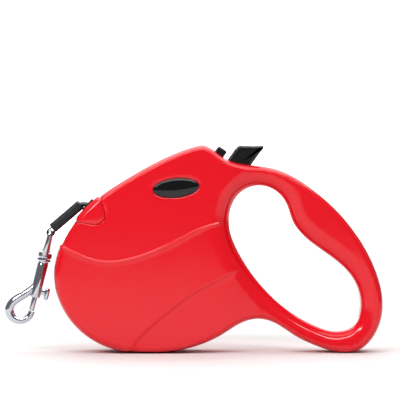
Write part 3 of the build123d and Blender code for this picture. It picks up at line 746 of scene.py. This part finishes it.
def build_tape(with_pieces):
    """The leash tape as one flat strip, 10 by 0.8 mm: from inside the case out through the
    guide, over its lip, down the sleeve, round the eye's bar and a little way back up."""
    upper = np.array([SLEEVE_WAY[1], -SLEEVE_WAY[0]])
    turn = math.atan2(upper[1], upper[0])
    wrap = [LOOP_CENTRE + 2.1 * np.array([math.cos(turn + a), math.sin(turn + a)])
            for a in np.radians(np.linspace(0, 195, 12))]
    points = [(-50.0, 89.4), (-60.0, 87.8), (-70.0, 86.2), (-75.4, 85.3), (-77.6, 85.3), (-79.6, 85.6),
              (-80.9, 85.0)]
    points += [SLEEVE_START + SLEEVE_WAY * s + upper * 0.5 for s in (1.5, 6.0, 12.0, 17.5)] + wrap
    points += [SLEEVE_START + SLEEVE_WAY * s - upper * 0.5 for s in (18.0, 15.5, 13.0)]
    line = route(points)
    flat = line[:, [0, 2]] / MM
    path = np.stack([flat[:, 0], np.zeros(len(flat)), flat[:, 1]], 1)
    step = np.gradient(path, axis=0)
    step /= np.linalg.norm(step, axis=1)[:, None]
    side = np.cross(step, (0.0, 1.0, 0.0))
    edge = rounded_loop(0.4, 5.0, 0.3, 4)
    rings = path[:, None] + side[:, None] * edge[None, :, :1] + np.array([0, 1, 0]) * edge[None, :, 1:]
    tape = closed_surface("leash_tape", rings, black_tape, 60)
    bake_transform(tape)
    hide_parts("tape_run", "tape_tail", "tape_loop")


# ---- snap -----------------------------------------------------------------------------------
SNAP_LEAN = math.radians(14)
SNAP_DOWN = np.array([-math.sin(SNAP_LEAN), 0, -math.cos(SNAP_LEAN)])
SNAP_OUT = np.array([-math.cos(SNAP_LEAN), 0, math.sin(SNAP_LEAN)])
SNAP_TOP = np.array([LOOP_CENTRE[0], 0, LOOP_CENTRE[1]]) + SNAP_DOWN * 17.3


def in_snap(rings):
    """From the snap's frame (x to the hook, y across, z down the barrel) to the case's."""
    rings = np.asarray(rings, float)
    across = np.array([0, 1, 0])
    return SNAP_TOP + rings[..., :1] * SNAP_OUT + rings[..., 1:2] * across + rings[..., 2:] * SNAP_DOWN


def joined(name, parts, body, slot, *nodes):
    """Several closed skins of one material as one object."""
    verts, faces, start = [], [], 0
    for part in parts:
        verts += [v.co[:] for v in part.data.vertices]
        faces += [[k + start for k in f.vertices] for f in part.data.polygons]
        start += len(part.data.vertices)
        material = part.data.materials[0]
        bpy.data.objects.remove(part)
    return kept(mesh_piece(name, np.array(verts) / MM, faces, material, 45), body, slot, *nodes)


def build_eye():
    """Cast eye: a rounded loop of round wire, thicker at its shoulders, on a turned collar."""
    corners = [(0.0, -3.6), (-3.4, -4.1), (-6.2, -6.6), (-7.2, -9.6), (-7.2, -14.6), (-7.0, -16.4),
               (-6.1, -17.25), (-4.8, -17.3), (0.0, -17.3)]
    half = open_curve(corners, 0.7)
    loop = np.vstack([half, half[::-1][1:-1] * (-1, 1)])
    thick = 1.35 + 0.45 * (1 - smoothstep(-loop[:, 1], 5.0, 12.0))
    path = np.stack([np.zeros(len(loop)), loop[:, 0], loop[:, 1]], 1)
    rings = tube_rings(path, np.stack([thick, thick], 1), (1, 0, 0), 20, loop=True)
    wire = closed_surface("wire", in_snap(rings), chrome, loop=True)
    collar = lathe_rings([(0.8, -5.1), (3.2, -5.1), (3.7, -4.8), (3.9, -4.2), (3.9, -2.7), (3.7, -2.0),
                          (3.3, -1.7), (0.8, -1.7)])
    block = closed_surface("collar", in_snap(collar), chrome, 45)
    return joined("eye_casting", [wire, block], "eye", "chrome", "snap_eye")


def build_snap():
    """Turned barrel with a flange and a waist, hollow below, its left side slotted for the thumb
    tab, and the hook as a tapering oval bar bent round to meet the bolt."""
    profile = [(1.6, -1.5), (3.4, -1.5), (3.8, -1.3), (3.9, -0.8), (3.8, -0.2), (3.3, 0.15), (2.85, 0.7),
               (2.85, 1.4), (3.05, 1.8), (3.05, 20.6), (2.9, 21.4), (2.5, 21.9), (1.75, 22.0)]
    inner = [(1.75, 21.0), (1.75, 6.5), (0.6, 6.5)]
    barrel = closed_surface("barrel", in_snap(lathe_rings(profile + inner, 56)), chrome, 40)
    slot = [[(x, y, z) for y, z in rounded_loop(1.1, 6.2, 1.05) + (0, 14.1)] for x in (-6.8, -1.0)]
    cut(barrel, [closed_surface("slot", in_snap(slot), chrome)])
    line = open_curve([
        (1.6, 14.5, 1.4, 1.7), (2.9, 17.6, 2.0, 2.1), (5.6, 21.0, 2.3, 2.25), (9.2, 24.6, 2.4, 2.3),
        (12.0, 28.4, 2.5, 2.3), (12.6, 32.4, 2.6, 2.3), (10.4, 35.9, 2.5, 2.2), (6.4, 37.2, 2.2, 2.1),
        (2.6, 36.0, 2.0, 2.0), (0.3, 33.2, 1.9, 1.9), (-0.2, 30.05, 1.85, 1.85)], 0.7)
    path = np.stack([line[:, 0], np.zeros(len(line)), line[:, 1]], 1)
    hook = closed_surface("bar", in_snap(tube_rings(path, line[:, 2:], (0, 1, 0), 28)), chrome, 45)
    return joined("snap_casting", [barrel, hook], "snap", "chrome", "snap_body")


def build_bolt():
    """Bolt rod with a domed nose, its stem and the rounded thumb tab."""
    rod = lathe_rings([(0.5, 15.5), (1.3, 15.5), (1.5, 15.8), (1.5, 29.3), (1.38, 29.75), (1.1, 29.9)], 28)
    rod = closed_surface("rod", in_snap(rod), chrome, 45)
    stem = [[(x, y, z) for y, z in rounded_loop(0.9, 1.6, 0.4) + (0, 18.0)] for x in (-1.0, -5.6)]
    stations = [(-5.1, 0.5), (-5.25, 0.15), (-5.6, 0.0), (-6.4, 0.0), (-7.1, 0.1), (-7.5, 0.4), (-7.7, 0.9)]
    tab = [[(x, y, z) for y, z in rounded_loop(2.3 - inset, 3.6 - inset, 1.2) + (0, 18.3)]
           for x, inset in stations]
    stem = closed_surface("stem", in_snap(stem), chrome)
    tab = closed_surface("tab", in_snap(tab), chrome)
    return joined("bolt_with_tab", [rod, stem, tab], "bolt", "chrome", "snap_bolt")


def build_spring(name, foot, axis, size, body):
    """A round-wire coil, size (radius, wire radius, turns, height): centre line foot + axis z +
    radius (a cos t + b sin t)."""
    radius, wire, turns, height = size
    foot, axis = np.asarray(foot, float), np.asarray(axis, float)
    a = np.cross(axis, (0.0, 1.0, 0.0))
    b = np.cross(axis, a)
    t = np.linspace(0, 2 * math.pi * turns, int(turns * 24))[:, None]
    out = a * np.cos(t) + b * np.sin(t)
    path = foot + axis * (wire + (height - 2 * wire) * t / t[-1]) + radius * out
    u = np.linspace(0, 2 * math.pi, 8, endpoint=False)
    rings = path[:, None] + out[:, None] * (wire * np.cos(u))[:, None] + axis * (wire * np.sin(u))[:, None]
    coil = kept(closed_surface(name + "_coil", rings, spring_steel), body, "spring_steel", name)
    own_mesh(coil)
    return coil


def build_springs():
    """The return springs of both buttons, and the bolt's, which is handed back for the cord."""
    up = [STROKE[0], 0, STROKE[1]]
    for name, across, along, size, joint, keep in (
            ("brake_spring", -53.5, 66.0, (2.4, 0.4, 4.5, 10.5), "brake_press", 6.0 / 10.5),
            ("lock_spring", -67.5, 78.0, (1.9, 0.3, 4.5, 10.0), "lock_press", 7.5 / 10.0)):
        x, z = on_stroke(across, along)
        build_spring(name, (x, 0, z), up, size, "case")
    return build_spring("bolt_spring", SNAP_TOP + SNAP_DOWN * 2.5, SNAP_DOWN, (1.1, 0.22, 9, 13.0),
                        "snap")


build_case()
build_badge("front_dome", -1, "front_badge")
build_badge("rear_dome", 1, "rear_badge")
build_buttons()
on_the_end = [build_sleeve(), build_eye(), build_snap(), build_bolt()]
build_tape(on_the_end + [build_springs(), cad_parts["swivel_rivet"]])


# ---- floor, light and camera ----------------------------------------------------------------
def build_stage():
    """White studio sweep: a floor and, far behind, a lit white wall."""
    paper, _, _ = new_material("white_paper", {"Base Color": (0.75, 0.75, 0.75, 1.0), "Roughness": 0.8})
    lit, _, _ = new_material("lit_wall", {
        "Base Color": (0.8, 0.8, 0.8, 1.0), "Roughness": 0.9, "Emission Color": (1.0, 1.0, 1.0, 1.0),
        "Emission Strength": 1.2})
    floor = mesh_piece("floor", [(-900, -900, 0), (900, -900, 0), (900, 1400, 0), (-900, 1400, 0)],
                       [(0, 1, 2, 3)], paper)
    wall = mesh_piece("wall", [(-450, 1400, -5), (450, 1400, -5), (450, 1400, 900), (-450, 1400, 900)],
                      [(0, 1, 2, 3)], lit)


def area_light(name, place, aim, size, power):
    """A softbox of this size and power in watts, turned from its place towards its aim."""
    light = bpy.data.lights.new(name, "AREA")
    light.shape, light.size, light.size_y, light.energy = "RECTANGLE", size[0], size[1], power
    holder = bpy.data.objects.new(name, light)
    holder.location = place
    holder.rotation_euler = (Vector(aim) - Vector(place)).to_track_quat("-Z", "Y").to_euler()
    bpy.context.scene.collection.objects.link(holder)


def build_lights():
    """A dim room, softboxes overhead and behind, a small key on the left, a long strip in front."""
    world = bpy.data.worlds.new("studio")
    world.use_nodes = True
    back = world.node_tree.nodes["Background"]
    back.inputs["Color"].default_value = (1.0, 1.0, 1.0, 1.0)
    back.inputs["Strength"].default_value = 0.2
    bpy.context.scene.world = world
    area_light("top", (0.0, -0.05, 1.0), (0, 0, 0), (1.0, 0.8), 5)
    area_light("back", (0.0, 0.7, 1.0), (0, 0.4, 0), (1.6, 0.8), 9)
    area_light("key", (-0.75, -0.85, 0.75), (0, 0, 0.06), (0.18, 0.18), 3)
    area_light("strip", (-0.15, -0.85, 0.95), (-0.02, 0, 0.07), (1.8, 0.10), 11)


def build_camera():
    """Long lens, square on to the side of the case and 2 degrees above it. Its focal length over
    the sensor's width is the distance over the field's width at the case."""
    aim, far, rise = Vector((-0.0110, 0.0, 0.0883)), 1.6, math.radians(2.0)
    field, sensor = 0.2326, 36.0
    lens = bpy.data.cameras.new("camera")
    lens.sensor_width, lens.lens = sensor, sensor * far / field
    lens.clip_end = 50
    camera = bpy.data.objects.new("camera", lens)
    camera.location = aim + Vector((0, -far * math.cos(rise), far * math.sin(rise)))
    camera.rotation_euler = (aim - camera.location).to_track_quat("-Z", "Y").to_euler()
    bpy.context.scene.collection.objects.link(camera)
    bpy.context.scene.camera = camera
    bpy.context.scene.view_settings.view_transform = "Standard"


build_stage()
build_lights()
build_camera()
